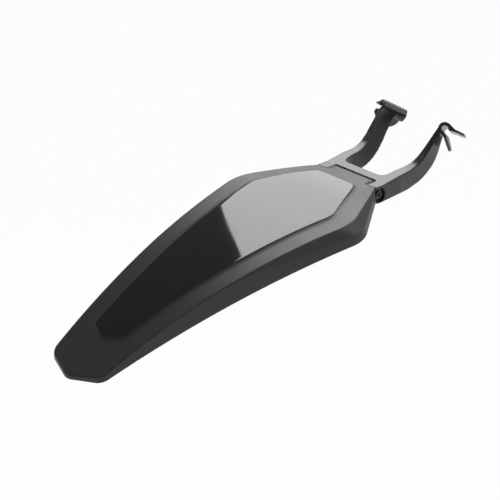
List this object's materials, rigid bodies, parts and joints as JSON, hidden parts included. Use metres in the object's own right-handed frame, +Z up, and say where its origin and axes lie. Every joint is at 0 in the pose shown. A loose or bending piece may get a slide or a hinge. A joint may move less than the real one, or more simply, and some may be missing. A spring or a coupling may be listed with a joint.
{
  "type": "bicycle mudguard",
  "caption": "Rear bicycle mudguard: a curved tapering blade with a raised gloss panel, hinged to a forked bracket whose twisted arms snap onto the saddle rails.",
  "frame": {"origin": "midway between the centres of the two rail clips", "axes": "+X to the rider's right, +Y forward, along the bicycle, +Z up"},
  "size_m": [0.1706, 0.4773, 0.1423],
  "materials": {
    "blade_plastic": "fine matte grain on the rim and walls, the raised panel polished to a mirror gloss",
    "bracket_plastic": "satin moulded nylon",
    "blackened_steel": "black oxide, half gloss"
  },
  "bodies": {
    "bracket": {"fork_bracket": "bracket_plastic", "hinge_bolt": "blackened_steel", "hinge_washer": "blackened_steel", "hinge_nut": "blackened_steel"},
    "blade": {"mudguard_blade": "blade_plastic"}
  },
  "joints": [
    {"name": "blade_tilt", "type": "hinge", "parent": "bracket", "child": "blade", "pos_m": [0, -0.0984, -0.0413], "axis": [1, 0, 0], "range_deg": [0, 35]}
  ]
}
